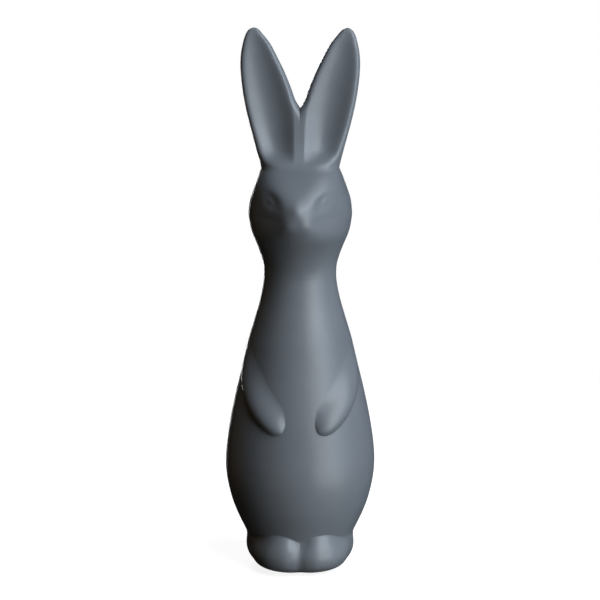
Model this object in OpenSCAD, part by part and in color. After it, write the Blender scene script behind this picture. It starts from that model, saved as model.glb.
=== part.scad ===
// Standing rabbit figurine in satin stoneware, facing -Y, with its origin on the table
// under the middle of the body. The torso and the head are hollow castings. The ears,
// forepaws, feet and tail are cast solid and luted on with slip. Millimetres throughout.

/* [Torso] */
// Height of the neck joint above the table
neck_z = 165; // [160:0.5:169]
// Radius of the neck at the joint
neck_r = 19.9; // [18:0.1:21.5]
// Height of the widest part of the belly
belly_z = 60.5; // [55:0.5:66]
// Radius of the belly at its widest
belly_r = 41.4; // [38:0.1:44]
// Height of the pinch between the belly and the foot block
ankle_z = 17; // [16:0.1:18.5]
// Radius at that pinch
ankle_r = 29.7; // [28:0.1:29.9]
// Radius of the foot block
base_r = 30; // [29.8:0.1:31.5]
// Width of the rounding along the lower edge of the foot block
base_round_w = 9.6; // [8:0.1:10.5]
// Height of that rounding
base_round_h = 11; // [9:0.1:11.5]
// Thickness of the cast wall
shell_wall = 4; // [3:0.1:4.6]
// Radius of the pour hole in the underside
hole_r = 9; // [7:0.1:10]

/* [Head] */
// Height of the flat crown that the ears stand on
crown_z = 224; // [220:0.5:228]
// Half of the crown's width
crown_half_w = 21.4; // [20:0.1:22.5]
// Half of the crown's depth
crown_half_d = 20; // [19:0.1:21]
// Height of the widest part of the head
cheek_z = 199; // [196:0.5:202]
// Half of the head's width at its widest
cheek_r = 28.5; // [27:0.1:30]
// Reach of the face in front of the axis, without the snout
face_reach = 28; // [26.5:0.1:29.5]
// Height of the nose
nose_z = 206.5; // [204:0.1:208]
// Height of the snout's ridge above the face
snout_relief = 11.8; // [9.5:0.1:13]
// Reach of the back of the head behind the axis
nape_reach = 27.4; // [26:0.1:29]
// Height of each whisker pad above the snout
whisker_relief = 0.9; // [0.4:0.1:1.4]
// Distance of each eye from the middle of the face
eye_x = 14.2; // [13:0.1:15.4]
// Height of the eyes
eye_z = 210.7; // [209:0.1:212.4]
// Depth of the eye socket
eye_depth = 2.2; // [1.4:0.1:2.6]
// Turn of the head and the ears in degrees, below zero to the left as seen from the front
head_turn = -2.5; // [-6:0.5:6]

/* [Ears] */
// Height of the ear tips, which is the height of the figurine
ear_tip_z = 300; // [290:1:310]
// Height of the notch where the two ears part
notch_z = 256.8; // [252:0.1:261]
// Distance of each ear tip from the middle
tip_x = 25.3; // [23:0.1:27]
// Farthest reach of the ear's outer edge from the middle
ear_reach = 32.5; // [31:0.1:34.5]
// Thickness of the ear at half its height, before the scoop is cut
ear_thick = 10.4; // [9.5:0.1:12]
// Depth of the scoop in the front of the ear
scoop_depth = 4.4; // [3:0.1:4.8]
// Width of the rim around the scoop
ear_rim = 0.5; // [0.4:0.1:1.2]
// Half of the width of the ridge between the two scoops
ridge_half_w = 2.4; // [2:0.1:3.2]
// How far the tips lean back
ear_lean = 4; // [0:0.1:6]

/* [Forepaws] */
// Height of the tip of the paw
paw_z = 84.6; // [82:0.1:89]
// Angle of the tip of the paw from the front
paw_angle = 14; // [12:0.5:20]
// Height at which the arm leaves the shoulder
shoulder_z = 127; // [120:0.5:131]
// Angle of the shoulder from the front
shoulder_angle = 82; // [74:0.5:90]
// Height of the arm above the torso
arm_relief = 3.6; // [2.4:0.1:4.4]
// Width of the arm below its ridge
arm_below = 6.4; // [5.4:0.1:7.4]
// Width of the arm above its ridge
arm_above = 12.5; // [11:0.1:13.5]

/* [Feet] */
// Reach of the toes in front of the foot block
toe_reach = 6.2; // [4:0.1:7.5]
// Height of the feet above the underside of the casting
foot_h = 23; // [20:0.1:24]
// Angle from the front at which each foot runs out into the block
foot_angle = 74; // [66:1:80]

/* [Tail] */
// Height of the middle of the tail
tail_z = 36; // [33:0.5:40]
// Radius of the tail where it meets the torso
tail_r = 9.5; // [8:0.1:10.5]
// Height of the tail above the torso
tail_relief = 5.2; // [4:0.1:6]

/* [Felt pads] */
// Thickness of each self-adhesive felt pad
pad_t = 1; // [0.8:0.1:1.5]
// Radius of each felt pad
pad_r = 4.4; // [3.6:0.1:4.6]

/* [Hidden] */

glaze = "slategray";
felt = "dimgray";

// Thickness of the slip that beds each luted piece on the torso
slip_gap = 0.15;
// Thinnest edge of a luted piece
feather = 0.3;
// Strip left bare between a felt pad and the edge of the flat underside
pad_margin = 0.6;
// Length over which the rim round the scoop widens into the ridge between the scoops
rim_bend = 4;

// Numbers of steps along and round the shapes
corner_steps = 8;
ankle_steps = 3;
hip_steps = 18;
flank_steps = 30;
around_head = 52;
head_rings = 40;
cavity_rings = 12;
ear_rings = 34;
across_ear = 14;
arm_rings = 22;
across_arm = 10;
foot_rings = 20;
foot_steps = 9;
tail_rings = 6;
around_tail = 24;
fine = 96;

// In each table below a row holds a share of the way along and the share of the change made by then.
// Torso, from ankle to belly and from belly to neck
hip_shares = [
    [0, 0], [0.02, 0], [0.06, 0.03], [0.126, 0.145], [0.207, 0.29], [0.287, 0.425], [0.368, 0.55],
    [0.448, 0.66], [0.57, 0.79], [0.72, 0.91], [0.86, 0.98], [0.98, 1], [1, 1]
];
flank_shares = [
    [0, 0], [0.02, 0], [0.1, 0.034], [0.2, 0.105], [0.3, 0.198], [0.4, 0.305], [0.5, 0.424], [0.6, 0.538],
    [0.66, 0.607], [0.73, 0.709], [0.795, 0.802], [0.86, 0.893], [0.925, 0.961], [0.98, 1], [1, 1]
];
// Sides of the head, from neck to cheek and from cheek to crown
cheek_shares = [
    [0, 0], [0.04, 0], [0.16, 0.035], [0.26, 0.135], [0.36, 0.263], [0.46, 0.415], [0.56, 0.579],
    [0.66, 0.743], [0.76, 0.865], [0.86, 0.94], [0.97, 1], [1, 1]
];
temple_shares = [
    [0, 0], [0.03, 0], [0.2, 0.055], [0.34, 0.14], [0.47, 0.286], [0.6, 0.443], [0.73, 0.614], [0.87, 0.8],
    [1, 1]
];
// Front of the head without the snout, from neck to cheek and from cheek to crown
throat_shares = [
    [0, 0], [0.088, 0.03], [0.176, 0.085], [0.265, 0.15], [0.353, 0.235], [0.441, 0.335], [0.529, 0.455],
    [0.618, 0.59], [0.706, 0.73], [0.794, 0.85], [0.882, 0.94], [0.97, 1], [1, 1]
];
brow_shares = [
    [0, 0], [0.12, 0.006], [0.2, 0.025], [0.32, 0.075], [0.44, 0.14], [0.56, 0.225], [0.68, 0.35],
    [0.8, 0.525], [0.92, 0.775], [1, 1]
];
// Height of the snout's ridge, its half width, and how square the face is across, from neck to crown
snout_shares = [
    [0, 0], [0.051, 0.017], [0.102, 0.06], [0.153, 0.128], [0.203, 0.204], [0.254, 0.306], [0.305, 0.426],
    [0.356, 0.562], [0.407, 0.698], [0.458, 0.817], [0.508, 0.91], [0.559, 0.957], [0.61, 0.987],
    [0.661, 1], [0.712, 0.983], [0.763, 0.877], [0.814, 0.706], [0.864, 0.51], [0.915, 0.31],
    [0.966, 0.13], [1, 0]
];
snout_width_shares = [
    [0, 0.68], [0.37, 0.68], [0.58, 0.52], [0.66, 0.55], [0.74, 0.62], [0.8, 0.76], [0.86, 0.98],
    [0.92, 1.25], [1, 1.4]
];
fullness_shares = [[0, 1], [0.2, 1.025], [0.42, 1.25], [0.55, 1.3], [0.75, 1.375], [0.9, 1.55], [1, 1.65]];
// Back of the head, from neck to cheek and from cheek to crown
nape_shares = [[0, 0], [0.06, 0], [0.3, 0.09], [0.6, 0.5], [0.85, 0.9], [0.97, 1], [1, 1]];
occiput_shares = [
    [0, 0], [0.03, 0], [0.24, 0.02], [0.46, 0.1], [0.68, 0.31], [0.86, 0.66], [0.95, 0.86], [1, 1]
];
// Inner edge of the ear from notch to tip, and outer edge from crown to tip
inner_edge_shares = [
    [0, 0], [0.04, 0.048], [0.1, 0.105], [0.2, 0.165], [0.3, 0.23], [0.4, 0.3], [0.5, 0.377], [0.6, 0.464],
    [0.7, 0.55], [0.8, 0.645], [0.887, 0.76], [0.926, 0.82], [0.963, 0.873], [0.984, 0.916], [0.993, 0.944],
    [1, 0.985]
];
outer_edge_shares = [
    [0, 0], [0.04, 0.06], [0.1, 0.165], [0.22, 0.385], [0.34, 0.6], [0.46, 0.78], [0.58, 0.915], [0.72, 1],
    [1, 1]
];
// Turn of the outer edge from its farthest reach in to the tip
tip_shares = [
    [0, 0], [0.74, 0], [0.82, 0.06], [0.88, 0.17], [0.935, 0.32], [0.957, 0.415], [0.978, 0.555],
    [0.991, 0.715], [0.9974, 0.84], [1, 0.96]
];
// Fall of the ear's thickness from the crown's depth, from crown to tip, and its taper towards the tip
ear_waist_shares = [
    [0, 0], [0.0395, 0.235], [0.079, 0.44], [0.132, 0.63], [0.21, 0.79], [0.342, 0.92], [0.5, 0.99], [0.6, 1],
    [1, 1]
];
ear_taper_shares = [[0, 1], [0.4, 1], [0.6, 0.92], [0.8, 0.76], [0.92, 0.56], [0.98, 0.34], [1, 0.22]];
// Depth of the scoop and squareness of the ear's front, from crown to tip
scoop_shares = [
    [0, 0], [0.04, 0], [0.06, 0.12], [0.09, 0.62], [0.12, 0.93], [0.16, 1], [0.3, 1], [0.5, 0.84],
    [0.7, 0.62], [0.85, 0.38], [0.95, 0.1], [0.98, 0], [1, 0]
];
square_shares = [[0, 1.65], [0.03, 1.7], [0.16, 4.6], [0.6, 4.6], [1, 2]];
// Turn towards the front and fall to the paw, by share of the arm's length
arm_turn_shares = [[0, 0], [0.25, 0.18], [0.5, 0.41], [0.75, 0.66], [0.9, 0.87], [1, 1]];
arm_fall_shares = [[0, 0], [0.25, 0.26], [0.5, 0.51], [0.75, 0.755], [0.9, 0.93], [1, 1]];
// Width and relief by share of the arm's length
arm_width_shares = [
    [0, 0.4], [0.2, 0.8], [0.4, 1], [0.7, 1], [0.82, 0.96], [0.9, 0.85], [0.95, 0.68], [0.98, 0.48],
    [1, 0.24]
];
arm_relief_shares = [
    [0, 0], [0.05, 0.05], [0.12, 0.2], [0.25, 0.42], [0.45, 0.7], [0.65, 0.94], [0.8, 1], [0.88, 0.94],
    [0.94, 0.76], [0.98, 0.46], [1, 0.18]
];
// Reach of the toes by share of the turn round the block, and by share of the foot's height
toe_turn_shares = [
    [0, 0.6], [0.03, 0.62], [0.1, 0.8], [0.18, 0.96], [0.27, 1], [0.42, 0.93], [0.62, 0.6], [0.82, 0.19],
    [0.95, 0], [1, 0]
];
toe_rise_shares = [
    [0, 0.55], [0.07, 0.8], [0.16, 0.95], [0.3, 1], [0.56, 1], [0.68, 0.93], [0.78, 0.75], [0.86, 0.5],
    [0.92, 0.26], [0.965, 0.08], [0.99, 0.01], [1, 0]
];
// Height of the instep by share of the turn round the block
instep_shares = [
    [0, 0.84], [0.06, 0.87], [0.16, 0.96], [0.28, 1], [0.42, 0.98], [0.62, 0.87], [0.82, 0.77], [1, 0.7]
];
// Sizes of the face's features as shares of the head's half width
nose_w_share = 0.116;
nose_h_share = 0.154;
nose_relief_share = 0.03;
whisker_x_share = 0.228;
whisker_w_share = 0.158;
whisker_h_share = 0.21;
whisker_drop_share = 0.246;
// Each eye is an almond, longer on the slant from the nose up and out
eye_long_share = 0.175;
eye_short_share = 0.123;
eyeball_long_share = 0.084;
eyeball_short_share = 0.063;
eyeball_out_share = 0.025;
// Share of the eye socket that the eyeball fills again
eyeball_share = 0.4;
// Share of the snout's ridge that the hollow follows
hollow_ridge_share = 0.7;
// Share by which the head's points are drawn together towards the face
face_crowding_share = 0.42;
// Narrowest stretch across the ear where its two skins end, as a share of the ear's width
nip_share = 0.006;

base_z = pad_t;
flat_r = base_r - base_round_w;
pad_ring_r = flat_r - pad_r - pad_margin;
block_z = base_z + base_round_h;

// Number of the station at the upper end of the stretch that holds x
function stretch(table, x, i = 1) = i < len(table) - 1 && x > table[i][0] ? stretch(table, x, i + 1) : i;
// Slope of the curve at a station
function slope(table, i) =
    let (a = table[max(0, i - 1)], b = table[min(len(table) - 1, i + 1)])
    (b[1] - a[1]) / (b[0] - a[0]);
// Height at x of the smooth curve through the stations
function curve(table, x) =
    let (
        i = stretch(table, x),
        a = table[i - 1],
        b = table[i],
        w = b[0] - a[0],
        t = min(1, max(0, (x - a[0]) / w))
    )
    a[1] * (1 - t) * (1 - t) * (1 + 2 * t) + b[1] * t * t * (3 - 2 * t)
        + w * t * (1 - t) * (slope(table, i - 1) * (1 - t) - slope(table, i) * t);
// A value that goes from a to b as share goes from 0 to 1
function mix(a, b, share) = a + (b - a) * share;
// Smooth hump of height 1 around 0
function hump(x, w) = exp(-x * x / (w * w));

// Radius of the torso's outside at height z
function torso_r(z) =
    z < block_z ? flat_r + base_round_w * sqrt(max(0, 1 - pow((block_z - z) / base_round_h, 2)))
    : z < ankle_z ? mix(base_r, ankle_r, (1 - cos(180 * (z - block_z) / (ankle_z - block_z))) / 2)
    : z < belly_z ? mix(ankle_r, belly_r, curve(hip_shares, (z - ankle_z) / (belly_z - ankle_z)))
    : mix(belly_r, neck_r, curve(flank_shares, (z - belly_z) / (neck_z - belly_z)));

// Heights of the stations up the torso, and the radius of its outside at each
corner_zs = [for (i = [0:corner_steps]) block_z - base_round_h * cos(90 * i / corner_steps)];
upper_zs = concat(
    [for (i = [1:ankle_steps]) mix(block_z, ankle_z, i / ankle_steps)],
    [for (i = [1:hip_steps]) mix(ankle_z, belly_z, i / hip_steps)],
    [for (i = [1:flank_steps]) mix(belly_z, neck_z, i / flank_steps)]
);
torso_outline = [for (z = concat(corner_zs, upper_zs)) [z, torso_r(z)]];

// Point on or above the torso's outside, at an angle from the front and a height
function on_torso(angle, z, lift) =
    let (r = lookup(z, torso_outline) + lift)
    [r * sin(angle), -r * cos(angle), z];

// Half width of the head, and its reach in front and behind, at height z
function head_side(z) =
    z < cheek_z ? mix(neck_r, cheek_r, curve(cheek_shares, (z - neck_z) / (cheek_z - neck_z)))
    : mix(cheek_r, crown_half_w, curve(temple_shares, (z - cheek_z) / (crown_z - cheek_z)));
function head_front(z) =
    z < cheek_z ? mix(neck_r, face_reach, curve(throat_shares, (z - neck_z) / (cheek_z - neck_z)))
    : mix(face_reach, crown_half_d, curve(brow_shares, (z - cheek_z) / (crown_z - cheek_z)));
function head_back(z) =
    z < cheek_z ? mix(neck_r, nape_reach, curve(nape_shares, (z - neck_z) / (cheek_z - neck_z)))
    : mix(nape_reach, crown_half_d, curve(occiput_shares, (z - cheek_z) / (crown_z - cheek_z)));
// Share of the way from neck to crown
function head_share(z) = (z - neck_z) / (crown_z - neck_z);
// Point on the plain head, for a turn from the front round the unit circle
function plain_point(turn, z) =
    let (
        ahead = cos(turn) > 0,
        power = 2 * (ahead ? curve(fullness_shares, head_share(z)) : 1),
        depth = ahead ? -head_front(z) : head_back(z)
    )
    [head_side(z) * sin(turn), depth * sqrt(max(0, 1 - pow(abs(sin(turn)), power)))];
// What stands on the face fades out towards the side of the head
function face_fade(turn) = min(1, max(0, 3 * cos(turn)));
function snout_ridge(x, z) =
    let (up = head_share(z))
    snout_relief * curve(snout_shares, up) * hump(x, curve(snout_width_shares, up) * cheek_r);
// Nose, whisker pads and eyes, as a height above the snout
function features(x, z) =
    let (
        nose = nose_relief_share * hump(x, nose_w_share * cheek_r) * hump(z - nose_z, nose_h_share * cheek_r),
        pad_z = nose_z - whisker_drop_share * cheek_r,
        across = hump(abs(x) - whisker_x_share * cheek_r, whisker_w_share * cheek_r),
        pads = whisker_relief * across * hump(z - pad_z, whisker_h_share * cheek_r),
        out = abs(x) - eye_x,
        rise = z - eye_z,
        long = (out + rise) / sqrt(2),
        short = (out - rise) / sqrt(2),
        socket = hump(long, eye_long_share * cheek_r) * hump(short, eye_short_share * cheek_r),
        off = short - eyeball_out_share * cheek_r,
        ball = hump(long, eyeball_long_share * cheek_r) * hump(off, eyeball_short_share * cheek_r)
    )
    nose * cheek_r + pads + eye_depth * (eyeball_share * ball - socket);
function head_point(turn, z) =
    let (
        plain = plain_point(turn, z),
        relief = snout_ridge(plain[0], z) + features(plain[0], z)
    )
    [plain[0], plain[1] - relief * face_fade(turn), z];
function cavity_point(turn, z) =
    let (
        plain = plain_point(turn, z),
        inset = 1 - shell_wall / norm(plain),
        ridge = hollow_ridge_share * snout_ridge(plain[0] * inset, z)
    )
    [plain[0] * inset, plain[1] * inset - ridge * face_fade(turn), z];
// Angle from the front of each point round the head, from one side on, closer together over the face
function head_turns(i) =
    let (even = 90 + 360 * i / around_head)
    even - face_crowding_share * sin(even) * 180 / PI;

// Edges of the right ear at a share of its whole height, in the frame's x
function ear_height(share) = mix(crown_z, ear_tip_z, share);
function ear_outer(share) =
    mix(mix(crown_half_w, ear_reach, curve(outer_edge_shares, share)), tip_x, curve(tip_shares, share));
function ear_inner(share) =
    let (z = ear_height(share))
    z < notch_z ? -crown_half_w * (notch_z - z) / (notch_z - crown_z)
    : tip_x * curve(inner_edge_shares, (z - notch_z) / (ear_tip_z - notch_z));
// Front and back of the ear, at a place x across it
function ear_middle(share) = ear_lean * share * share;
function ear_half_thick(share) =
    mix(crown_half_d, ear_thick / 2, curve(ear_waist_shares, share)) * curve(ear_taper_shares, share);
function ear_across(x, share) =
    let (lo = ear_inner(share), hi = ear_outer(share))
    min(1, abs((2 * x - lo - hi) / (hi - lo)));
function ear_back(x, share) =
    ear_middle(share) + ear_half_thick(share) * sqrt(1 - pow(ear_across(x, share), 2));
function ear_scoop(x, share) =
    let (
        past = ear_inner(share) - (ridge_half_w - ear_rim),
        lo = ridge_half_w + (past + norm([past, rim_bend])) / 2,
        hi = ear_outer(share) - ear_rim,
        v = hi > lo ? min(1, abs((2 * x - lo - hi) / (hi - lo))) : 1
    )
    scoop_depth * curve(scoop_shares, share) * pow(1 - v * v, 1.35);
function ear_front(x, share) =
    let (skin = sqrt(1 - pow(ear_across(x, share), 2 * curve(square_shares, share))))
    ear_middle(share) - ear_half_thick(share) * skin + ear_scoop(x, share);
// Closed ring of points round the ear at a share of its height
function ear_ring(share) =
    let (
        free_lo = ear_inner(share),
        hi_edge = ear_outer(share),
        nip = (hi_edge - free_lo) * nip_share,
        lo = max(0, free_lo + nip),
        hi = hi_edge - nip,
        xs = [for (i = [0:across_ear]) mix(lo, hi, (1 - cos(180 * i / across_ear)) / 2)]
    )
    concat(
        [for (x = xs) [x, ear_back(x, share), ear_height(share)]],
        [for (i = [across_ear:-1:0]) [xs[i], ear_front(xs[i], share), ear_height(share)]]
    );

// Point on the right arm, at a share of its length and a place v across it from -1 to 1
function arm_angle(share) = mix(shoulder_angle, paw_angle, curve(arm_turn_shares, share));
function arm_height(share) = mix(shoulder_z, paw_z, curve(arm_fall_shares, share));
function arm_point(share, v, raised) =
    let (
        step = 1 / arm_rings,
        before = max(0, share - step),
        after = min(1, share + step),
        r = torso_r(arm_height(share)),
        run = (arm_angle(after) - arm_angle(before)) * PI / 180 * r,
        fall = arm_height(after) - arm_height(before),
        away = sqrt(run * run + fall * fall),
        width = (v < 0 ? arm_below : arm_above) * curve(arm_width_shares, share),
        z = arm_height(share) - v * width * run / away,
        angle = arm_angle(share) + v * width * fall / away / torso_r(z) * 180 / PI,
        crest = v < 0 ? 1 - v * v : pow(cos(90 * v), 2),
        lift = raised ? feather + arm_relief * curve(arm_relief_shares, share) * crest : 0
    )
    on_torso(angle, z, slip_gap + lift);
function arm_ring(share) = concat(
    [for (i = [0:across_arm]) arm_point(share, -cos(180 * i / across_arm), false)],
    [for (i = [across_arm:-1:0]) arm_point(share, -cos(180 * i / across_arm), true)]
);

// Closed section of the right foot at a share of its turn round the block
function instep(turn) = foot_h * curve(instep_shares, turn);
function foot_zs(turn) = concat(
    corner_zs,
    [for (i = [1:foot_steps]) mix(block_z, base_z + instep(turn), i / foot_steps)]
);
function toe_point(turn, z, raised) =
    let (
        rise = (z - base_z) / instep(turn),
        reach = toe_reach * curve(toe_turn_shares, turn) * curve(toe_rise_shares, rise)
    )
    on_torso(foot_angle * turn, z, slip_gap + (raised ? feather + reach : 0));
function foot_ring(turn) =
    let (zs = foot_zs(turn))
    concat(
        [for (z = zs) toe_point(turn, z, true)],
        [for (i = [len(zs) - 1:-1:0]) toe_point(turn, zs[i], false)]
    );

// Ring round the middle of the tail, at a share of its radius
function tail_ring(share, raised) = [
    for (i = [0:around_tail - 1])
        let (
            turn = 360 * i / around_tail,
            z = tail_z + tail_r * share * sin(turn),
            angle = 180 - tail_r * share * cos(turn) / torso_r(tail_z) * 180 / PI,
            lift = raised ? feather + tail_relief * sqrt(1 - share * share) : 0
        )
        on_torso(angle, z, slip_gap + lift)
];

// Closed solid through a row of rings that have as many points each
module loft(rings) {
    n = len(rings[0]);
    last = len(rings) - 1;
    sides = [
        for (k = [0:last - 1], i = [0:n - 1])
            let (j = (i + 1) % n)
            each [[k * n + i, k * n + j, k * n + n + j], [k * n + i, k * n + n + j, k * n + n + i]]
    ];
    // Each end is a strip between the two halves of its ring, so that a bent end doesn't fold over
    across = [for (i = [0:n / 2 - 2]) [i, i + 1, n - 2 - i, n - 1 - i]];
    start = [for (q = across) each [[q[3], q[2], q[1]], [q[3], q[1], q[0]]]];
    finish = [for (face = start) [for (i = [2:-1:0]) last * n + face[i]]];
    polyhedron(points = [for (ring = rings) each ring], faces = concat(sides, start, finish));
}

module torso() {
    floor_z = base_z + shell_wall;
    outside = [for (station = torso_outline) [station[1], station[0]]];
    inside = [for (i = [len(upper_zs) - 1:-1:0]) [torso_r(upper_zs[i]) - shell_wall, upper_zs[i]]];
    floor_corner = [
        for (i = [corner_steps:-1:0])
            let (turn = 90 * i / corner_steps)
            [
                flat_r + (base_round_w - shell_wall) * sin(turn),
                block_z - (base_round_h - shell_wall) * cos(turn)
            ]
    ];
    color(glaze)
        rotate_extrude($fn = fine)
            polygon(concat(outside, inside, floor_corner, [[hole_r, floor_z], [hole_r, base_z]]));
}

module head() {
    ceiling_z = crown_z - shell_wall;
    outer = [
        for (k = [0:head_rings])
            let (z = mix(crown_z, neck_z, k / head_rings))
            [for (i = [0:around_head - 1]) head_point(head_turns(i), z)]
    ];
    inner = [
        for (k = [0:cavity_rings])
            let (z = mix(neck_z, ceiling_z, k / cavity_rings))
            [for (i = [0:around_head - 1]) cavity_point(head_turns(i), z)]
    ];
    color(glaze) loft(concat(outer, inner));
}

module right_ear() {
    color(glaze) loft([for (k = [0:ear_rings]) ear_ring((1 - cos(180 * k / ear_rings)) / 2)]);
}

module right_forepaw() {
    color(glaze) loft([for (k = [0:arm_rings]) arm_ring(sin(90 * k / arm_rings))]);
}

module right_foot() {
    color(glaze) loft([for (k = [0:foot_rings]) foot_ring(k / foot_rings)]);
}

module tail() {
    smallest = 1 / (2 * tail_rings);
    under = [for (k = [0:tail_rings]) tail_ring(mix(smallest, 1, k / tail_rings), false)];
    over = [for (k = [0:tail_rings]) tail_ring(mix(1, smallest, sin(90 * k / tail_rings)), true)];
    color(glaze) loft(concat(under, over));
}

// The head and both ears are turned as one
module turned() {
    rotate([0, 0, head_turn]) children();
}

module other_side() {
    mirror([1, 0, 0]) children();
}

// One felt pad under the casting, at an angle from the front
module felt_pad(angle) {
    color(felt)
        rotate([0, 0, angle])
            translate([0, -pad_ring_r, 0])
                cylinder(h = pad_t, r = pad_r, $fn = fine);
}

torso();
turned() head();
turned() other_side() right_ear();  // left_ear
turned() right_ear();
other_side() right_forepaw();  // left_forepaw
right_forepaw();
other_side() right_foot();  // left_foot
right_foot();
tail();
felt_pad(-45);  // felt_pad_front_left
felt_pad(45);  // felt_pad_front_right
felt_pad(-135);  // felt_pad_back_left
felt_pad(135);  // felt_pad_back_right
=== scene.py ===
import math

import bmesh
import bpy
from mathutils import Matrix, Vector


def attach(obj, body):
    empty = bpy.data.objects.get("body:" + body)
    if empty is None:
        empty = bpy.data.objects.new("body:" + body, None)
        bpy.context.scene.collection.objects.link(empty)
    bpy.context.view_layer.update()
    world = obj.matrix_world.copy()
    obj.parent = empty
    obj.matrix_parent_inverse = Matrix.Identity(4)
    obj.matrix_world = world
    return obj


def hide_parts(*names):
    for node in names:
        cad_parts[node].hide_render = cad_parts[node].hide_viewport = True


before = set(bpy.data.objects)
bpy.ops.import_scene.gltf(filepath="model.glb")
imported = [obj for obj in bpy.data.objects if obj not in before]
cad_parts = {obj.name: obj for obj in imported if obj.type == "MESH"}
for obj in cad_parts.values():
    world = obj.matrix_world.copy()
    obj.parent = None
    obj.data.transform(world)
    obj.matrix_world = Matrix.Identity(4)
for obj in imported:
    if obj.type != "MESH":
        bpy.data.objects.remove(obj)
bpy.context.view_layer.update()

# ---- Torso ----
# The torso is one hollow slip casting in stoneware, with a foot block, a pinch, a full belly and a
# slender neck. It is dipped in a satin slate-grey glaze, and the underside is wiped bare for the
# kiln shelf. A pour hole in the underside drained the slip.

# Sizes are in millimetres, and heights count from the table. Blender works in metres.
MM = 0.001

base_z = 1
block_z = 12
ankle_z = 17
belly_z = 60.5
neck_z = 165
base_r = 30
ankle_r = 29.7
belly_r = 41.4
neck_r = 19.9
# The underside is flat out to this radius, and rounded from there up the foot block
flat_r = 20.4
round_w = 9.6
round_h = 11
wall = 4
hole_r = 9


def mix(a, b, share):
    """The value that goes from a to b as share goes from 0 to 1."""
    return a + (b - a) * share


def eased_curve(stations, spread=0.025):
    """Smooth curve through the stations, each a share along and a height there. Each slight corner
    is eased over the share spread to either side."""
    last = len(stations) - 1
    samples = 800
    reach = 6

    def slope(i):
        before, after = stations[max(0, i - 1)], stations[min(last, i + 1)]
        return (after[1] - before[1]) / (after[0] - before[0])

    def through(x):
        i = 1
        while i < last and x > stations[i][0]:
            i += 1
        (x0, y0), (x1, y1) = stations[i - 1], stations[i]
        if x < x0:
            return y0 + (x - x0) * slope(0)
        if x > x1:
            return y1 + (x - x1) * slope(last)
        w = x1 - x0
        t = (x - x0) / w
        bend = w * t * (1 - t) * (slope(i - 1) * (1 - t) - slope(i) * t)
        return y0 * (1 - t) ** 2 * (1 + 2 * t) + y1 * t * t * (3 - 2 * t) + bend

    weights = [reach + 1 - abs(k) for k in range(-reach, reach + 1)]
    row = []
    for i in range(samples + 1):
        near = [through(i / samples + spread * k / reach) for k in range(-reach, reach + 1)]
        row.append(sum(w * y for w, y in zip(weights, near)) / sum(weights))

    def height(x):
        place = min(max(x, 0), 1) * samples
        k = min(int(place), samples - 1)
        return row[k] + (row[k + 1] - row[k]) * (place - k)

    return height


# Swell from the ankle up to the belly, and fall from the belly up to the neck
hip = eased_curve([
    (0, 0), (0.02, 0), (0.06, 0.03), (0.126, 0.145), (0.207, 0.29), (0.287, 0.425), (0.368, 0.55),
    (0.448, 0.66), (0.57, 0.79), (0.72, 0.91), (0.86, 0.98), (0.98, 1), (1, 1),
])
flank = eased_curve([
    (0, 0), (0.02, 0), (0.1, 0.034), (0.2, 0.105), (0.3, 0.198), (0.4, 0.305), (0.5, 0.424),
    (0.6, 0.538), (0.66, 0.607), (0.73, 0.709), (0.795, 0.802), (0.86, 0.893), (0.925, 0.961),
    (0.98, 1), (1, 1),
])


def torso_r(z):
    """Radius of the torso's outside at height z."""
    if z < block_z:
        return flat_r + round_w * math.sqrt(max(0, 1 - ((block_z - z) / round_h) ** 2))
    if z < ankle_z:
        pinch = (1 - math.cos(math.pi * (z - block_z) / (ankle_z - block_z))) / 2
        return mix(base_r, ankle_r, pinch)
    if z < belly_z:
        return mix(ankle_r, belly_r, hip((z - ankle_z) / (belly_z - ankle_z)))
    return mix(belly_r, neck_r, flank((z - belly_z) / (neck_z - belly_z)))


def new_finish(name):
    """A new material, with its tree, its shader and the Object coordinates for its patterns."""
    finish = bpy.data.materials.new(name)
    finish.use_nodes = True
    tree = finish.node_tree
    coords = tree.nodes.new("ShaderNodeTexCoord").outputs["Object"]
    return finish, tree, tree.nodes["Principled BSDF"], coords


def set_input(tree, socket, value):
    """Links a socket to the output that value is, or else sets it to the constant value."""
    if isinstance(value, bpy.types.NodeSocket):
        tree.links.new(value, socket)
    else:
        socket.default_value = value


def node_of(tree, kind, **inputs):
    """A new shader node with its named sockets set."""
    node = tree.nodes.new(kind)
    for name, value in inputs.items():
        set_input(tree, node.inputs[name.replace("_", " ")], value)
    return node


def blended(tree, share, a, b):
    """Colour that goes from a to b as share goes from 0 to 1."""
    node = tree.nodes.new("ShaderNodeMix")
    node.data_type = "RGBA"
    factor, first, second = node.inputs[0], node.inputs[6], node.inputs[7]
    for socket, value in ((factor, share), (first, a), (second, b)):
        set_input(tree, socket, value)
    return node.outputs[2]


def sloped(tree, value, low, high, to_low=0.0, to_high=1.0):
    """The value, carried from the range low to high over to the range to_low to to_high."""
    ranges = {"From_Min": low, "From_Max": high, "To_Min": to_low, "To_Max": to_high}
    return node_of(tree, "ShaderNodeMapRange", Value=value, **ranges).outputs["Result"]


def noise_of(tree, coords, scale, detail, roughness=0.5):
    """Soft random pattern, with scale waves to the metre."""
    shape = {"Scale": scale, "Detail": detail, "Roughness": roughness}
    return node_of(tree, "ShaderNodeTexNoise", Vector=coords, **shape).outputs["Fac"]


def add_relief(tree, shader, height, strength, depth):
    """Gives the shader a fine relief, depth metres deep."""
    bump = node_of(tree, "ShaderNodeBump", Strength=strength, Distance=depth, Height=height)
    tree.links.new(bump.outputs["Normal"], shader.inputs["Normal"])


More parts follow.
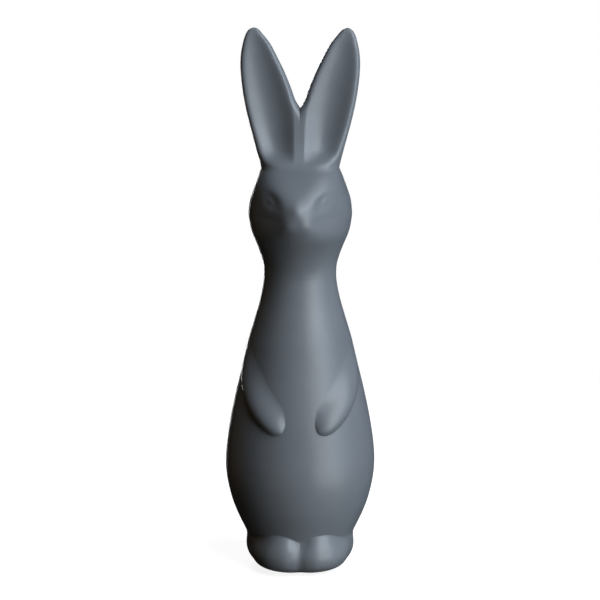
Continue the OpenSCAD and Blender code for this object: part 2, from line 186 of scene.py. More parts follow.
# The glaze is a little paler where it runs thin over a rim and deeper where it pools in a hollow,
# and the same paler and deeper colour is also painted light and shade: a painted highlight on the
# nose and the ear rims, painted light on the toes, and painted shade in the eye sockets, the ear
# scoops and the cleft between the feet. A mesh attribute is above zero where the colour is paler
# and below zero where it is deeper.
glaze_deep = (0.151, 0.167, 0.189, 1)
glaze_pale = (0.167, 0.183, 0.205, 1)
glaze_fleck = (0.105, 0.117, 0.136, 1)
thin_glaze_and_painted_light = (0.25, 0.27, 0.30, 1)
pooled_glaze_and_painted_shade = (0.085, 0.100, 0.122, 1)

glaze, tree, shader, coords = new_finish("satin_slate_glaze")
marked = tree.nodes.new("ShaderNodeAttribute")
marked.attribute_name = "glaze_lie_and_painted_light"
lie_and_light = marked.outputs["Fac"]
clouds = noise_of(tree, coords, 34, 4, 0.55)
flecks = noise_of(tree, coords, 900, 3, 0.6)
colour = blended(tree, sloped(tree, clouds, 0.3, 0.7), glaze_deep, glaze_pale)
colour = blended(tree, sloped(tree, flecks, 0.62, 0.78, 0, 0.22), colour, glaze_fleck)
# Paler where the attribute is above zero, as thin glaze, painted highlight and painted light, and
# darker where it is below zero, as pooled glaze and painted shade
colour = blended(tree, sloped(tree, lie_and_light, 0, 1, 0, 0.3), colour, thin_glaze_and_painted_light)
colour = blended(tree, sloped(tree, lie_and_light, 0, -1, 0, 0.35), colour, pooled_glaze_and_painted_shade)
tree.links.new(colour, shader.inputs["Base Color"])
fire_marks = noise_of(tree, coords, 120, 3)
tree.links.new(sloped(tree, fire_marks, 0.3, 0.7, 0.33, 0.40), shader.inputs["Roughness"])
shader.inputs["IOR"].default_value = 1.5
orange_peel = noise_of(tree, coords, 420, 2)
sway = noise_of(tree, coords, 70, 1)
sway_share = 2
uneven = tree.nodes.new("ShaderNodeMath")
uneven.operation = "MULTIPLY_ADD"
for socket, value in zip(uneven.inputs, (sway, sway_share, orange_peel)):
    set_input(tree, socket, value)
add_relief(tree, shader, uneven.outputs[0], 0.5, 0.00004)

# Fired clay without a glaze, on the wiped underside and inside the casting
clay_deep = (0.46, 0.37, 0.275, 1)
clay_pale = (0.55, 0.455, 0.345, 1)
grog_dark = (0.24, 0.17, 0.115, 1)

bisque, tree, shader, coords = new_finish("bare_stoneware")
grog = noise_of(tree, coords, 1500, 4, 0.7)
toast = noise_of(tree, coords, 60, 3)
colour = blended(tree, sloped(tree, toast, 0.3, 0.7), clay_deep, clay_pale)
colour = blended(tree, sloped(tree, grog, 0.62, 0.74, 0, 0.6), colour, grog_dark)
tree.links.new(colour, shader.inputs["Base Color"])
shader.inputs["Roughness"].default_value = 0.86
add_relief(tree, shader, grog, 0.6, 0.00012)


def made_of(name, bm, *finishes):
    """The object that a bmesh becomes. It sits at the origin, with its place in its mesh."""
    mesh = bpy.data.meshes.new(name)
    bm.to_mesh(mesh)
    bm.free()
    for finish in finishes:
        mesh.materials.append(finish)
    piece = bpy.data.objects.new(name, mesh)
    bpy.context.scene.collection.objects.link(piece)
    return piece


def fired(name, node, bm, bare=None):
    """Makes a piece of the figurine out of a bmesh. Its skin is smooth, and sharp only where a
    joint face starts. Faces for which bare is true are left without a glaze."""
    sharp_from = math.radians(50)
    bmesh.ops.recalc_face_normals(bm, faces=bm.faces)
    for face in bm.faces:
        face.smooth = True
        if bare and bare(face):
            face.material_index = 1
    for edge in bm.edges:
        at_joint_face = any(len(face.verts) > 4 for face in edge.link_faces)
        edge.smooth = not at_joint_face and edge.calc_face_angle(0) < sharp_from
    piece = made_of(name, bm, glaze, bisque)
    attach(piece, "root")
    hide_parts(node)


def spaced(low, high, count):
    """Evenly spaced values from low to high."""
    return [mix(low, high, i / count) for i in range(count + 1)]


# Section of the wall, from the rim of the pour hole out and up the outside, and down the inside
section = [(r, base_z) for r in spaced(hole_r, flat_r, 6)]
for turn in spaced(0, math.pi / 2, 26)[1:]:
    section.append((flat_r + round_w * math.sin(turn), block_z - round_h * math.cos(turn)))
outside_zs = spaced(block_z, ankle_z, 8)[1:]
outside_zs += spaced(ankle_z, belly_z, 50)[1:]
outside_zs += spaced(belly_z, neck_z, 100)[1:]
section += [(torso_r(z), z) for z in outside_zs]
section += [(torso_r(z) - wall, z) for z in spaced(neck_z, block_z, 44)]
inner_w, inner_h = round_w - wall, round_h - wall
for turn in spaced(math.pi / 2, 0, 8)[1:]:
    section.append((flat_r + inner_w * math.sin(turn), block_z - inner_h * math.cos(turn)))
section.append((hole_r, base_z + wall))

# Points closer together than this, in metres, are joined
weld = 1e-7

bm = bmesh.new()
points = [bm.verts.new((r * MM, 0, z * MM)) for r, z in section]
loop = [bm.edges.new((a, b)) for a, b in zip(points, points[1:] + points[:1])]
bmesh.ops.spin(
    bm, geom=points + loop, cent=(0, 0, 0), axis=(0, 0, 1), angle=math.tau, steps=224,
    use_merge=True,
)
bmesh.ops.remove_doubles(bm, verts=bm.verts, dist=weld)


def is_bare_torso(face):
    """Whether a face is one that the glaze doesn't reach."""
    middle = face.calc_center_median()
    r, z = math.hypot(middle.x, middle.y) / MM, middle.z / MM
    on_underside = z < base_z + 0.02
    in_pour_hole = r < hole_r + 0.2
    in_hollow = z < neck_z - 0.1 and r < torso_r(z) - wall / 2
    return on_underside or in_pour_hole or in_hollow


fired("torso_casting", "torso", bm, is_bare_torso)

# ---- Head ----
# The head is a second hollow casting, luted to the neck with slip and sponged until the seam is
# gone. The face is modelled in the mould: a snout with a soft ridge up to the brow, a small nose,
# two whisker pads, and an eye in a shallow socket on either side.

crown_z = 224
crown_half_w = 21.4
crown_half_d = 20
cheek_z = 199
cheek_r = 28.5
face_reach = 28
nape_reach = 27.4
snout_relief = 11.8
nose_z = 206.5
nose_w = 3.3
nose_h = 4.4
nose_relief = 0.85
# Painted highlight on the nose, as a paler glaze colour
nose_painted_highlight = 0.5
whisker_x = 6.5
whisker_w = 4.5
whisker_h = 6
whisker_drop = 7
whisker_relief = 0.9
# Each eye is an almond, longer on the slant from the nose up and out
eye_x = 14.2
eye_z = 210.7
eye_long = 5
eye_short = 3.5
eye_depth = 2.2
eyeball_long = 2.4
eyeball_short = 1.8
eyeball_out = 0.7
eyeball_share = 0.4
# Degrees, below zero to the left as the camera sees it
head_turn = -2.5

# Sides of the head, from neck to cheek and from cheek to crown
cheek = eased_curve([
    (0, 0), (0.04, 0), (0.16, 0.035), (0.26, 0.135), (0.36, 0.263), (0.46, 0.415), (0.56, 0.579),
    (0.66, 0.743), (0.76, 0.865), (0.86, 0.94), (0.97, 1), (1, 1),
])
temple = eased_curve([
    (0, 0), (0.03, 0), (0.2, 0.055), (0.34, 0.14), (0.47, 0.286), (0.6, 0.443), (0.73, 0.614),
    (0.87, 0.8), (1, 1),
])
# Front of the head without the snout, from neck to cheek and from cheek to crown
throat = eased_curve([
    (0, 0), (0.088, 0.03), (0.176, 0.085), (0.265, 0.15), (0.353, 0.235), (0.441, 0.335),
    (0.529, 0.455), (0.618, 0.59), (0.706, 0.73), (0.794, 0.85), (0.882, 0.94), (0.97, 1), (1, 1),
])
brow = eased_curve([
    (0, 0), (0.12, 0.006), (0.2, 0.025), (0.32, 0.075), (0.44, 0.14), (0.56, 0.225), (0.68, 0.35),
    (0.8, 0.525), (0.92, 0.775), (1, 1),
])
# Back of the head, from neck to cheek and from cheek to crown
nape = eased_curve([(0, 0), (0.06, 0), (0.3, 0.09), (0.6, 0.5), (0.85, 0.9), (0.97, 1), (1, 1)])
occiput = eased_curve([
    (0, 0), (0.03, 0), (0.24, 0.02), (0.46, 0.1), (0.68, 0.31), (0.86, 0.66), (0.95, 0.86), (1, 1),
])
# Height and half width of the snout's ridge from neck to crown, and how square the front of the
# head is across, 2 being round
snout = eased_curve([
    (0, 0), (0.051, 0.017), (0.102, 0.06), (0.153, 0.128), (0.203, 0.204), (0.254, 0.306),
    (0.305, 0.426), (0.356, 0.562), (0.407, 0.698), (0.458, 0.817), (0.508, 0.91), (0.559, 0.957),
    (0.61, 0.987), (0.661, 1), (0.712, 0.983), (0.763, 0.877), (0.814, 0.706), (0.864, 0.51),
    (0.915, 0.31), (0.966, 0.13), (1, 0),
])
snout_width = eased_curve([
    (0, 0.68), (0.37, 0.68), (0.58, 0.52), (0.66, 0.55), (0.74, 0.62), (0.8, 0.76), (0.86, 0.98),
    (0.92, 1.25), (1, 1.4),
])
fullness = eased_curve([
    (0, 2), (0.2, 2.05), (0.42, 2.5), (0.55, 2.6), (0.75, 2.75), (0.9, 3.1), (1, 3.3),
])


def hump(x, w):
    """Smooth hump of height 1 around 0."""
    return math.exp(-x * x / (w * w))


def head_share(z):
    """Share of the way from the neck to the crown."""
    return (z - neck_z) / (crown_z - neck_z)


def head_sizes(z):
    """Half width of the head at height z, and its reach in front and behind."""
    if z < cheek_z:
        up = (z - neck_z) / (cheek_z - neck_z)
        return (
            mix(neck_r, cheek_r, cheek(up)),
            mix(neck_r, face_reach, throat(up)),
            mix(neck_r, nape_reach, nape(up)),
        )
    up = (z - cheek_z) / (crown_z - cheek_z)
    return (
        mix(cheek_r, crown_half_w, temple(up)),
        mix(face_reach, crown_half_d, brow(up)),
        mix(nape_reach, crown_half_d, occiput(up)),
    )


def plain_head(across, z, front):
    """Point on the head without its face, at a share across its half width."""
    side, reach_front, reach_back = head_sizes(z)
    power = fullness(head_share(z)) if front else 2
    depth = -reach_front if front else reach_back
    return side * across, depth * math.sqrt(max(0, 1 - abs(across) ** power))


def snout_ridge(x, z):
    up = head_share(z)
    return snout_relief * snout(up) * hump(x, snout_width(up) * cheek_r)


def face_relief(x, z):
    """How far the face stands in front of the plain head, and how much paler or darker the glaze
    colour is there, which is a painted highlight on the nose and painted shade in the eye sockets.
    """
    nose = nose_relief * hump(x, nose_w) * hump(z - nose_z, nose_h)
    whisker_rise = hump(z - nose_z + whisker_drop, whisker_h)
    pads = whisker_relief * hump(abs(x) - whisker_x, whisker_w) * whisker_rise
    out, rise = abs(x) - eye_x, z - eye_z
    long, short = (out + rise) / math.sqrt(2), (out - rise) / math.sqrt(2)
    socket = hump(long, eye_long) * hump(short, eye_short)
    ball = hump(long, eyeball_long) * hump(short - eyeball_out, eyeball_short)
    eye = eye_depth * (eyeball_share * ball - socket)
    # Paler on the nose as a painted highlight, and darker in each eye socket as painted shade
    return snout_ridge(x, z) + nose + pads + eye, nose_painted_highlight * nose - socket


def face_fade(ahead):
    """How much of the face's relief there is, for the cosine of the turn from the front. It fades
    over the last 20 degrees to the side."""
    return min(1, max(0, 3 * ahead))


def rolled(around, along, place):
    """A sheet rolled into a tube and closed at both ends. place gives a point in millimetres, and
    how much paler or darker the glaze colour is there, partly as painted light and shade, for the
    share round the tube and the share along it."""
    bm = bmesh.new()
    lie_and_light = bm.verts.layers.float.new("glaze_lie_and_painted_light")
    bmesh.ops.create_grid(bm, x_segments=around, y_segments=along, size=0.5)
    for vert in bm.verts:
        x, y, z, vert[lie_and_light] = place(vert.co.x + 0.5, vert.co.y + 0.5)
        vert.co = Vector((x, y, z)) * MM
    bmesh.ops.remove_doubles(bm, verts=bm.verts, dist=weld)
    bmesh.ops.dissolve_degenerate(bm, edges=bm.edges, dist=weld / 10)
    bmesh.ops.holes_fill(bm, edges=[edge for edge in bm.edges if edge.is_boundary], sides=0)
    return bm


# Share of the rows that are on the outside, the others being in the hollow
outside_share = 0.86
# A share smaller than the step from one row to the next
hair = 0.001
# How far the points are drawn together towards the face
face_crowding = 0.42
# Share of the snout's ridge that the hollow follows
hollow_ridge_share = 0.7


def head_place(round_share, down):
    even = math.tau * round_share
    turn = even - face_crowding * math.sin(even)
    outside = down < outside_share + hair
    if outside:
        z = mix(crown_z, neck_z, min(1, down / outside_share))
    else:
        z = mix(neck_z, crown_z - wall, (down - outside_share) / (1 - outside_share))
    x, y = plain_head(math.sin(turn), z, math.cos(turn) > 0)
    fade = face_fade(math.cos(turn))
    if outside:
        relief, lie_and_light = face_relief(x, z)
        return x, y - relief * fade, z, lie_and_light
    inset = 1 - wall / math.hypot(x, y)
    ridge = hollow_ridge_share * snout_ridge(x * inset, z)
    return x * inset, y * inset - ridge * fade, z, 0


def turned(bm):
    """Turns the head, or an ear with it, a little to the left as the camera sees it."""
    turn = Matrix.Rotation(math.radians(head_turn), 3, "Z")
    bmesh.ops.rotate(bm, cent=(0, 0, 0), matrix=turn, verts=bm.verts)
    return bm


fired("head_casting", "head", turned(rolled(256, 250, head_place)))

# ---- Ears ----
# Each ear is cast solid, with a scoop pressed into its front that leaves a rim all round. The two
# stand on the flat crown of the head, meet back to back below the notch, and lean back a little.
# The glaze breaks pale over the rims and pools in the scoops, and this paler and deeper colour is
# also a painted highlight on the rims and painted shade in the scoops.

tip_z = 300
notch_z = 256.8
tip_x = 25.3
ear_reach = 32.5
ear_thick = 10.4
ear_lean = 4
tip_round = 0.7
scoop_depth = 4.4
ear_rim = 0.5
# Half width of the ridge between the scoops, and the length over which the rim widens into it
ridge_half_w = 2.4
rim_bend = 4
# How far the ear is bedded in the slip on the crown, and the share of its rows that this takes
ear_bed = 0.12
bed_share = 0.01
# Height over which the foot of the ear is smoothed into the head
thumbed = 9
# How much paler the rims are, as thin glaze and painted highlight, how much darker the scoops are,
# as pooled glaze and painted shade, and how narrow the pale line on a rim is
rim_pale_and_highlight = 0.9
scoop_pooling_and_shade = -0.5
rim_crisp = 14
# How hollow the scoop is across, 1 being a plain arc
scoop_bowl = 1.35

# Inner edge from notch to tip, outer edge from crown to tip, and its turn from the farthest reach
# in to the tip
inner_edge = eased_curve([
    (0, 0), (0.04, 0.048), (0.1, 0.105), (0.2, 0.165), (0.3, 0.23), (0.4, 0.3), (0.5, 0.377),
    (0.6, 0.464), (0.7, 0.55), (0.8, 0.645), (0.887, 0.76), (0.926, 0.82), (0.963, 0.873),
    (0.984, 0.916), (0.993, 0.944), (1, 0.985),
], 0.012)
outer_edge = eased_curve([
    (0, 0), (0.04, 0.06), (0.1, 0.165), (0.22, 0.385), (0.34, 0.6), (0.46, 0.78), (0.58, 0.915),
    (0.72, 1), (1, 1),
])
tip_turn = eased_curve([
    (0, 0), (0.74, 0), (0.82, 0.06), (0.88, 0.17), (0.935, 0.32), (0.957, 0.415), (0.978, 0.555),
    (0.991, 0.715), (0.9974, 0.84), (1, 0.96),
], 0.006)
# Fall of the thickness from the crown's depth, and its taper towards the tip
waist = eased_curve([
    (0, 0), (0.0395, 0.235), (0.079, 0.44), (0.132, 0.63), (0.21, 0.79), (0.342, 0.92), (0.5, 0.99),
    (0.6, 1), (1, 1),
], 0.01)
taper = eased_curve([
    (0, 1), (0.4, 1), (0.6, 0.92), (0.8, 0.76), (0.92, 0.56), (0.98, 0.34), (1, 0.22),
], 0.015)
# Depth of the scoop, and squareness of the ear's front
scoop = eased_curve([
    (0, 0), (0.04, 0), (0.06, 0.12), (0.09, 0.62), (0.12, 0.93), (0.16, 1), (0.3, 1), (0.5, 0.84),
    (0.7, 0.62), (0.85, 0.38), (0.95, 0.1), (0.98, 0), (1, 0),
], 0.012)
squareness = eased_curve([(0, 1.65), (0.03, 1.7), (0.16, 4.6), (0.6, 4.6), (1, 2)])


def ear_share(z):
    """Share of the way from the crown to the tip."""
    return (z - crown_z) / (tip_z - crown_z)


def ear_sizes(z):
    """Inner and outer edge, half thickness and middle of the right ear at height z, before it is
    cut at the middle."""
    up = ear_share(z)
    if z < notch_z:
        inner = -crown_half_w * (notch_z - z) / (notch_z - crown_z)
    else:
        inner = tip_x * inner_edge((z - notch_z) / (tip_z - notch_z))
    outer = mix(mix(crown_half_w, ear_reach, outer_edge(up)), tip_x, tip_turn(up))
    thick = mix(crown_half_d, ear_thick / 2, waist(up)) * taper(up)
    return inner, outer, thick, ear_lean * up * up


def plain_ear(x, z, front):
    """Depth of the ear's front or back at a place, before the scoop is pressed, and how far across
    the ear that place is."""
    inner, outer, thick, middle = ear_sizes(z)
    across = min(1, abs((2 * x - inner - outer) / (outer - inner)))
    if not front:
        return middle + thick * math.sqrt(1 - across**2), across
    power = 2 * squareness(ear_share(z))
    return middle - thick * math.sqrt(1 - across**power), across


def head_depth(x, z, front):
    """Depth of the finished head at a place."""
    across = x / head_sizes(z)[0]
    y = plain_head(across, z, front)[1]
    if front:
        y -= face_relief(x, z)[0] * face_fade(math.sqrt(max(0, 1 - across * across)))
    return y


def smoothing(x, z, front):
    """Slip thumbed into the joint, so that the ear's foot runs on from the slope of the head. It
    ends at the side of the crown, where there is no slope to measure."""
    rise = z - crown_z
    if rise >= thumbed:
        return 0
    step = 0.05
    x = min(x, 0.97 * crown_half_w)
    ear_slope = (plain_ear(x, crown_z + step, front)[0] - plain_ear(x, crown_z, front)[0]) / step
    head_slope = (head_depth(x, crown_z, front) - head_depth(x, crown_z - step, front)) / step
    fade = 1 - (x / crown_half_w) ** 4
    return (head_slope - ear_slope) * fade * rise * (1 - rise / thumbed) ** 2


# Shares of the way round at which the back ends and the front ends. The rest is the inner side.
back_share = 0.44
front_share = 0.9


def ear_place(round_share, up):
    z = mix(crown_z, tip_z, (1 - math.cos(math.pi * max(0, up - bed_share) / (1 - bed_share))) / 2)
    bed = ear_bed if up < hair else 0
    closing = math.sqrt(max(0, tip_z - z) / tip_round) if tip_z - z < tip_round else 1
    z_for_size = min(z, tip_z - tip_round)
    inner, outer, _, middle = ear_sizes(z_for_size)
    low = max(0, inner)

    def skin_at(t, front):
        x = mix(low, outer, (1 - math.cos(math.pi * t)) / 2)
        y, across = plain_ear(x, z_for_size, front)
        y += smoothing(x, z, front)
        # Pale line on the rim, as thin glaze and painted highlight
        lie_and_light = rim_pale_and_highlight * across**rim_crisp if z > notch_z or x > (low + outer) / 2 else 0
        if front:
            past = inner - (ridge_half_w - ear_rim)
            rim_low = ridge_half_w + (past + math.hypot(past, rim_bend)) / 2
            rim_high = outer - ear_rim
            v = 1
            if rim_high > rim_low:
                v = min(1, abs((2 * x - rim_low - rim_high) / (rim_high - rim_low)))
            depth = scoop(ear_share(z)) * (1 - v * v) ** scoop_bowl
            y += scoop_depth * depth
            # Darker in the scoop, as pooled glaze and painted shade
            lie_and_light += scoop_pooling_and_shade * depth
        return x, y, lie_and_light

    if round_share <= back_share:
        x, y, lie_and_light = skin_at(round_share / back_share, False)
    elif round_share <= front_share:
        x, y, lie_and_light = skin_at((front_share - round_share) / (front_share - back_share), True)
    else:
        (x, y0, lie_and_light), (_, y1, _) = skin_at(0, True), skin_at(0, False)
        y = mix(y0, y1, (round_share - front_share) / (1 - front_share))
    if closing < 1:
        centre = (low + outer) / 2
        x = mix(centre, x, closing)
        y = mix(middle, y, closing)
    return x, y, z - bed, lie_and_light


def handed(bm, node):
    """Mirrors a piece, which is made for the right side, if its node is the left one."""
    if node.startswith("left"):
        bmesh.ops.scale(bm, vec=(-1, 1, 1), verts=bm.verts)
    return bm


for node in ("left_ear", "right_ear"):
    fired(node + "_blade", node, turned(handed(rolled(130, 210, ear_place), node)))

# ---- Forepaws ----
# Each foreleg is a low relief, pressed in a small mould and luted over the chest, from the shoulder
# round to the paw at the front. Its upper side is sponged away into the chest, and its lower side
# keeps a crisp edge.

paw_z = 84.6
paw_angle = 14
shoulder_z = 127
shoulder_angle = 82
arm_relief = 3.6
arm_below = 6.4
arm_above = 12.5
# How far the hidden side of a luted piece is bedded in the torso, and how far its thin edge is
bedded = 0.4
sunk = 0.03
# Share of the way round a luted piece that is against the torso
hidden_share = 0.25
# Shares of the arm's length over which its direction is taken, and over which its tip closes
aim_share = 0.03
tip_share = 0.004

# Turn towards the front and fall to the paw, by share of the arm's length
arm_turn = eased_curve([(0, 0), (0.25, 0.18), (0.5, 0.41), (0.75, 0.66), (0.9, 0.87), (1, 1)])
arm_fall = eased_curve([(0, 0), (0.25, 0.26), (0.5, 0.51), (0.75, 0.755), (0.9, 0.93), (1, 1)])
# Width and height by share of the arm's length
arm_width = eased_curve([
    (0, 0.4), (0.2, 0.8), (0.4, 1), (0.7, 1), (0.82, 0.96), (0.9, 0.85), (0.95, 0.68), (0.98, 0.48),
    (1, 0.24),
], 0.008)
arm_height = eased_curve([
    (0, 0), (0.05, 0.05), (0.12, 0.2), (0.25, 0.42), (0.45, 0.7), (0.65, 0.94), (0.8, 1),
    (0.88, 0.94), (0.94, 0.76), (0.98, 0.46), (1, 0.18),
], 0.012)


def arm_place(round_share, along):
    share = math.sin(math.pi / 2 * along)
    before, after = max(0, share - aim_share), min(1, share + aim_share)
    z0 = mix(shoulder_z, paw_z, arm_fall(share))
    angle0 = mix(shoulder_angle, paw_angle, arm_turn(share))
    swing = math.radians((arm_turn(after) - arm_turn(before)) * (paw_angle - shoulder_angle))
    run = swing * torso_r(z0)
    fall = (arm_fall(after) - arm_fall(before)) * (paw_z - shoulder_z)
    away = math.hypot(run, fall)
    hidden = round_share < hidden_share
    t = round_share / hidden_share if hidden else (1 - round_share) / (1 - hidden_share)
    v = -math.cos(math.pi * t)
    closing = math.sqrt(max(0, 1 - share) / tip_share) if share > 1 - tip_share else 1
    width = (arm_below if v < 0 else arm_above) * arm_width(share) * closing
    z = z0 - v * width * run / away
    angle = angle0 + math.degrees(v * width * fall / away / torso_r(z))
    crest = 1 - v * v if v < 0 else math.cos(math.pi / 2 * v) ** 2
    height = arm_relief * arm_height(share) * closing * crest - sunk
    r = torso_r(z) + (-bedded if hidden else height)
    turn = math.radians(angle)
    return r * math.sin(turn), -r * math.cos(turn), z, 0


for node in ("left_forepaw", "right_forepaw"):
    fired(node + "_relief", node, handed(rolled(112, 170, arm_place), node))

# ---- Feet ----
# Each foot is a rounded lobe luted to the front of the foot block. The two meet in a soft cleft at
# the middle, darkened with painted shade, and their insteps are sponged into the lower belly. The
# toes are painted paler, as painted light.

toe_reach = 6.2
foot_h = 23
foot_angle = 74
# How far the feet stop short of the torso's underside
foot_lift = 0.02
# Painted light on the toes and painted shade in the cleft, and the cleft's share of the turn
toe_painted_light = 0.7
cleft_painted_shade = -1.2
cleft_w = 0.06

# Reach of the toes by share of the turn round the block, and by share of the foot's height
toe_turn = eased_curve([
    (0, 0.6), (0.03, 0.62), (0.1, 0.8), (0.18, 0.96), (0.27, 1), (0.42, 0.93), (0.62, 0.6),
    (0.82, 0.19), (0.95, 0), (1, 0),
])
toe_rise = eased_curve([
    (0, 0.55), (0.07, 0.8), (0.16, 0.95), (0.3, 1), (0.56, 1), (0.68, 0.93), (0.78, 0.75),
    (0.86, 0.5), (0.92, 0.26), (0.965, 0.08), (0.99, 0.01), (1, 0),
], 0.02)
# Height of the instep by share of the turn round the block
instep = eased_curve([
    (0, 0.84), (0.06, 0.87), (0.16, 0.96), (0.28, 1), (0.42, 0.98), (0.62, 0.87), (0.82, 0.77),
    (1, 0.7),
])
# Share of the points up the foot that are on the block's rounding
corner_share = 0.42


def foot_place(round_share, turn):
    hidden = round_share > 1 - hidden_share
    up = (1 - round_share) / hidden_share if hidden else round_share / (1 - hidden_share)
    top_z = base_z + foot_h * instep(turn)
    if up < corner_share:
        z = block_z - round_h * math.cos(math.pi / 2 * up / corner_share)
    else:
        z = mix(block_z, top_z, (up - corner_share) / (1 - corner_share))
    rise = (z - base_z) / (top_z - base_z)
    bulge = toe_turn(turn) * toe_rise(rise)
    reach = toe_reach * bulge - sunk
    r = torso_r(z) + (-bedded if hidden else reach)
    angle = math.radians(foot_angle * turn)
    # The toes are painted paler as painted light, and the cleft darker as painted shade
    lie_and_light = toe_painted_light * bulge + cleft_painted_shade * hump(turn, cleft_w) * (1 - rise)
    return r * math.sin(angle), -r * math.cos(angle), max(z, base_z + foot_lift), lie_and_light


def is_bare_foot(face):
    """Whether a face is on the wiped underside."""
    return face.normal.z < -0.9 and face.calc_center_median().z < (base_z + 0.1) * MM


for node in ("left_foot", "right_foot"):
    fired(node + "_lobe", node, handed(rolled(150, 120, foot_place), node), is_bare_foot)

# ---- Tail ----
# The tail is a small round scut, pressed in a mould and luted low on the back. Its edge is sponged
# into a soft fillet.

tail_z = 36
tail_r = 9.5
tail_relief = 5.2
# Share of the rows that are against the torso, and the share of the radius at which they start
tail_hidden = 0.3
tail_start = 0.01

# Height from the middle of the tail out to its edge
dome = eased_curve([
    (0, 1), (0.2, 0.985), (0.4, 0.925), (0.55, 0.83), (0.7, 0.68), (0.8, 0.53), (0.88, 0.34),
    (0.94, 0.12), (0.98, 0.01), (1, 0),
], 0.03)


def tail_place(round_share, along):
    hidden = along < tail_hidden
    if hidden:
        share = mix(tail_start, 1, along / tail_hidden)
    else:
        share = math.sin(math.pi / 2 * (1 - along) / (1 - tail_hidden))
    turn = math.tau * round_share
    z = tail_z + tail_r * share * math.sin(turn)
    angle = math.pi - tail_r * share * math.cos(turn) / torso_r(tail_z)
    r = torso_r(z) + (-bedded if hidden else tail_relief * dome(share) - sunk)
    return r * math.sin(angle), -r * math.cos(angle), z, 0


fired("tail_scut", "tail", rolled(120, 70, tail_place))

# ---- Felt pads ----
# Four round pads are punched out of wool felt and stuck under the foot block, so that the bare
# stoneware doesn't scratch a table. The punch leaves a soft, slightly furry edge.

pad_t = 1
pad_r = 4.4
pad_edge = 0.22
pad_ring_r = 15.4

felt_dark = (0.035, 0.035, 0.039, 1)
felt_pale = (0.072, 0.072, 0.079, 1)
felt_fibre = (0.14, 0.14, 0.15, 1)

felt, tree, shader, coords = new_finish("charcoal_felt")
tufts = noise_of(tree, coords, 1300, 5, 0.75)
tangle = {"Scale": 700, "Distortion": 22, "Detail": 3, "Detail_Scale": 2.5}
fibres = node_of(tree, "ShaderNodeTexWave", Vector=coords, **tangle).outputs["Fac"]
colour = blended(tree, sloped(tree, tufts, 0.35, 0.65), felt_dark, felt_pale)
colour = blended(tree, sloped(tree, fibres, 0.8, 1, 0, 0.35), colour, felt_fibre)
tree.links.new(colour, shader.inputs["Base Color"])
shader.inputs["Roughness"].default_value = 0.95
shader.inputs["Sheen Weight"].default_value = 0.4
add_relief(tree, shader, tufts, 0.8, 0.0002)

# An edge is level if its ends differ by less than this in height, in metres
level = 1e-6

for node, angle in (
    ("felt_pad_front_left", -45),
    ("felt_pad_front_right", 45),
    ("felt_pad_back_left", -135),
    ("felt_pad_back_right", 135),
):
    bm = bmesh.new()
    bmesh.ops.create_cone(
        bm, cap_ends=True, segments=72, radius1=pad_r * MM, radius2=pad_r * MM, depth=pad_t * MM
    )
    rims = [edge for edge in bm.edges if abs(edge.verts[0].co.z - edge.verts[1].co.z) < level]
    bmesh.ops.bevel(
        bm, geom=rims, offset=pad_edge * MM, offset_type="OFFSET", segments=3, profile=0.5,
        affect="EDGES", material=-1,
    )
    turn = math.radians(angle)
    centre = Vector((pad_ring_r * math.sin(turn), -pad_ring_r * math.cos(turn), pad_t / 2)) * MM
    bmesh.ops.translate(bm, vec=centre, verts=bm.verts)
    bmesh.ops.recalc_face_normals(bm, faces=bm.faces)
    for face in bm.faces:
        face.smooth = len(face.verts) == 4
    piece = made_of(node + "_disc", bm, felt)
    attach(piece, "root")
    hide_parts(node)

# ---- Floor ----
# A plain white studio ground, which the camera sees as white with the figurine's soft shadow on it.
# It throws no light back on the figurine and lets the low softbox shine through it from below, so
# that the shaded side stays dark and the foot catches light, as in a cut-out picture.

floor_half_w = 8
# The shadow fades out between these distances from the figurine, in metres
shadow_from = 0.15
shadow_to = 0.5
white = (1, 1, 1, 1)
floor_grey = (0.45, 0.45, 0.45, 1)
floor_glow = 0.86


def either_of(tree, share, a, b):
    """Shader that goes from a to b as share goes from 0 to 1."""
    node = tree.nodes.new("ShaderNodeMixShader")
    for socket, source in zip(node.inputs, (share, a, b)):
        tree.links.new(source, socket)
    return node.outputs[0]


ground, tree, shader, coords = new_finish("white_ground")
tree.nodes.remove(shader)
away = node_of(tree, "ShaderNodeVectorMath", Vector=coords)
away.operation = "LENGTH"
far = sloped(tree, away.outputs["Value"], shadow_from, shadow_to)
lit = node_of(tree, "ShaderNodeBsdfDiffuse", Color=floor_grey)
glow = node_of(tree, "ShaderNodeEmission", Color=white, Strength=floor_glow)
shaded = tree.nodes.new("ShaderNodeAddShader")
tree.links.new(lit.outputs[0], shaded.inputs[0])
tree.links.new(glow.outputs[0], shaded.inputs[1])
plain = node_of(tree, "ShaderNodeEmission", Color=white, Strength=1)
clear = tree.nodes.new("ShaderNodeBsdfTransparent")
rays = tree.nodes.new("ShaderNodeLightPath")
seen = either_of(tree, far, shaded.outputs[0], plain.outputs[0])
surface = either_of(tree, rays.outputs["Is Camera Ray"], clear.outputs[0], seen)
tree.links.new(surface, tree.nodes["Material Output"].inputs["Surface"])

bm = bmesh.new()
bmesh.ops.create_grid(bm, x_segments=1, y_segments=1, size=floor_half_w)
made_of("studio_floor", bm, ground)

# ---- Studio light ----
# Two tall softboxes stand side by side to the right of the camera, a square one hangs high beside
# them and a narrow one lies low. The shaded side gets only a faint warm fill from a far wall, and
# one more softbox stands behind the figurine to light its back.

figurine_middle = Vector((0, 0, 0.15))
lamp_distance = 1.8


def direction(azimuth, elevation):
    """Direction from the figurine, with its azimuth in degrees from the front to the right."""
    turn, tilt = math.radians(azimuth), math.radians(elevation)
    return Vector((
        math.sin(turn) * math.cos(tilt), -math.cos(turn) * math.cos(tilt), math.sin(tilt)
    ))


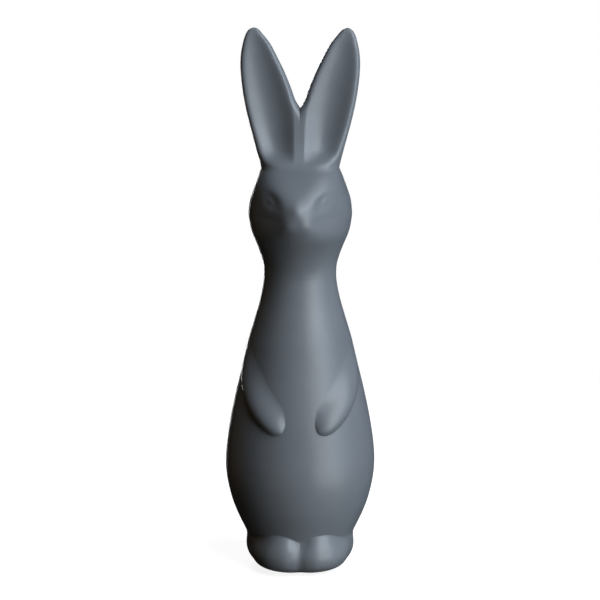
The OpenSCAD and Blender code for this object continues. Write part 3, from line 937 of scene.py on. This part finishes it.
def softbox(name, azimuth, elevation, wide, tall, energy, colour):
    """A lamp that shines at the middle of the figurine, in degrees, metres and watts."""
    data = bpy.data.lights.new(name, "AREA")
    data.shape = "RECTANGLE"
    data.size = wide
    data.size_y = tall
    data.energy = energy
    data.color = colour
    lamp = bpy.data.objects.new(name, data)
    bpy.context.scene.collection.objects.link(lamp)
    toward = direction(azimuth, elevation)
    lamp.location = figurine_middle + toward * lamp_distance
    lamp.rotation_euler = toward.to_track_quat("Z", "Y").to_euler()


softbox("tall_softbox", 40, 12, 1.2, 2.4, 21, (1.0, 0.98, 0.94))
softbox("side_softbox", 58, 12, 1.2, 2.4, 15, (0.54, 0.78, 1.0))
softbox("high_softbox", 52, 50, 1.9, 1.9, 26, (0.89, 0.94, 1.0))
softbox("low_softbox", 50, -22, 1.6, 0.6, 3.5, (1.0, 0.9, 0.75))
softbox("wall_fill", -110, -5, 1.5, 1.5, 0.7, (1.0, 0.7, 0.4))
softbox("back_softbox", -173, 6, 0.7, 1.6, 32, (1.0, 1.0, 1.0))

# The room gives next to no light, and the camera sees it white
room_warm = (1.0, 0.93, 0.86, 1)
room_strength = 0.01

world = bpy.data.worlds.new("studio_room")
bpy.context.scene.world = world
world.use_nodes = True
tree = world.node_tree
tree.nodes.clear()
room = node_of(tree, "ShaderNodeBackground", Color=room_warm, Strength=room_strength)
backdrop = node_of(tree, "ShaderNodeBackground", Color=white, Strength=1)
rays = tree.nodes.new("ShaderNodeLightPath")
seen = either_of(tree, rays.outputs["Is Camera Ray"], room.outputs[0], backdrop.outputs[0])
out = tree.nodes.new("ShaderNodeOutputWorld")
tree.links.new(seen, out.inputs["Surface"])

# ---- Camera ----
# A long lens, a little above the figurine and looking down on it. In a square frame, the
# figurine fills nine tenths of its height.

camera_distance = 1.6
camera_tilt = math.radians(12)

bpy.context.scene.view_settings.view_transform = "Standard"
lens = bpy.data.cameras.new("photo_camera")
lens.lens = 174.3
lens.sensor_width = 36
camera = bpy.data.objects.new("photo_camera", lens)
bpy.context.scene.collection.objects.link(camera)
back = Vector((0, -math.cos(camera_tilt), math.sin(camera_tilt)))
camera.location = back * camera_distance + figurine_middle
camera.rotation_euler = (math.pi / 2 - camera_tilt, 0, 0)
bpy.context.scene.camera = camera
